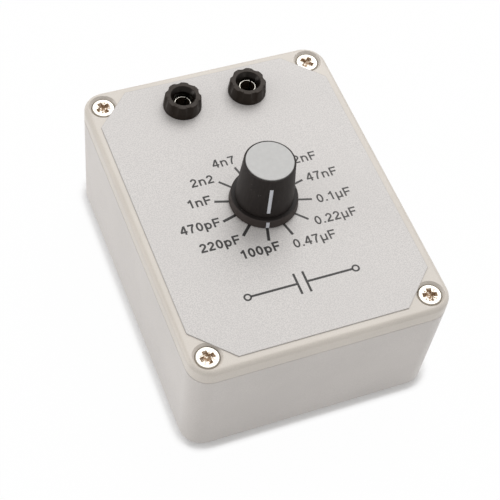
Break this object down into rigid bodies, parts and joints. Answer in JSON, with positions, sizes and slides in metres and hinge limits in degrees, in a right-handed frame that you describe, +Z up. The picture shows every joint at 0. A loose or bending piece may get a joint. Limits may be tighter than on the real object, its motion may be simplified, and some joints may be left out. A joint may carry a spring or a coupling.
{
  "type": "capacitance substitution box",
  "caption": "Bench capacitance substitution box: a moulded case with a screwed lid, a rotary switch that selects an internal capacitor, and sockets for plug leads.",
  "frame": {"origin": "centre of the case's underside, on the surface that it stands on", "axes": "+Z up, +Y from the plain front edge towards the two sockets, +X to the right as the panel is read"},
  "size_m": [0.0712, 0.0936, 0.0545],
  "materials": {
    "case_plastic": "fine moulded grain",
    "lid_plastic": "fine moulded grain",
    "label_film": "printed film with a fine speckle",
    "knob_plastic": "satin",
    "cap_plastic": "satin",
    "line_paint": "painted inlay",
    "head_plastic": "glossy moulding",
    "switch_plastic": "moulded",
    "rotor_plastic": "moulded",
    "wafer_board": "laminate",
    "disc_coating": "dipped coating",
    "film_box": "moulded box",
    "nickel": "bright plated",
    "steel": "turned",
    "brass": "turned",
    "bronze": "stamped",
    "tinned": "tin plated",
    "solder": "bright",
    "copper": "drawn",
    "red_sleeving": "flexible sleeving",
    "black_sleeving": "flexible sleeving"
  },
  "bodies": {
    "case": {"base_shell": "case_plastic", "lid": "lid_plastic", "lid_screws": "nickel", "screw_inserts": "brass", "panel_label": "label_film", "switch_nut": "nickel", "switch_washer": "nickel", "switch_bush": "nickel", "switch_housing": "switch_plastic", "switch_wafer": "wafer_board", "switch_terminals": "tinned", "common_terminal": "tinned", "capacitor_leads": "tinned", "bus_strip": "tinned", "solder_joints": "solder", "left_sleeve": "nickel", "right_sleeve": "nickel", "left_rear_bush": "head_plastic", "right_rear_bush": "head_plastic", "rear_washers": "nickel", "socket_nuts": "nickel", "left_solder_tag": "tinned", "right_solder_tag": "tinned", "common_wire": "red_sleeving", "bus_wire": "black_sleeving", "wire_ends": "copper", "cap_100pf": "disc_coating", "cap_220pf": "disc_coating", "cap_470pf": "disc_coating", "cap_1nf": "disc_coating", "cap_2n2": "disc_coating", "cap_4n7": "disc_coating", "cap_10nf": "film_box", "cap_22nf": "film_box", "cap_47nf": "film_box", "cap_100nf": "film_box", "cap_220nf": "film_box", "cap_470nf": "film_box"},
    "knob": {"knob_body": "knob_plastic", "knob_cap": "cap_plastic", "knob_pointer": "line_paint", "nut_cover": "knob_plastic", "cover_pointer": "line_paint", "knob_collet": "brass", "collet_nut": "brass", "switch_shaft": "steel", "shaft_clip": "steel", "switch_rotor": "rotor_plastic", "detent_balls": "steel", "detent_springs": "steel", "switch_wiper": "bronze"},
    "left_carrier": {"left_clamp_washer": "nickel"},
    "left_post": {"left_head": "head_plastic"},
    "right_carrier": {"right_clamp_washer": "nickel"},
    "right_post": {"right_head": "head_plastic"}
  },
  "joints": [
    {"name": "switch_turn", "type": "hinge", "parent": "case", "child": "knob", "pos_m": [0, -0.0014, 0.0423], "axis": [0, 0, 1], "range_deg": [-330, 0]},
    {"name": "left_lift", "type": "slide", "parent": "case", "child": "left_carrier", "axis": [0, 0, 1], "range_m": [0, 0.0015]},
    {"name": "left_turn", "type": "hinge", "parent": "left_carrier", "child": "left_post", "pos_m": [-0.0095, 0.03555, 0.0378], "axis": [0, 0, 1], "range_deg": [0, 720]},
    {"name": "right_lift", "type": "slide", "parent": "case", "child": "right_carrier", "axis": [0, 0, 1], "range_m": [0, 0.0015]},
    {"name": "right_turn", "type": "hinge", "parent": "right_carrier", "child": "right_post", "pos_m": [0.0095, 0.03555, 0.0378], "axis": [0, 0, 1], "range_deg": [0, 720]}
  ],
  "couplings": [
    {"joint": "left_turn", "follows": "left_lift", "rad_per_m": 8377.6},
    {"joint": "right_turn", "follows": "right_lift", "rad_per_m": 8377.6}
  ]
}
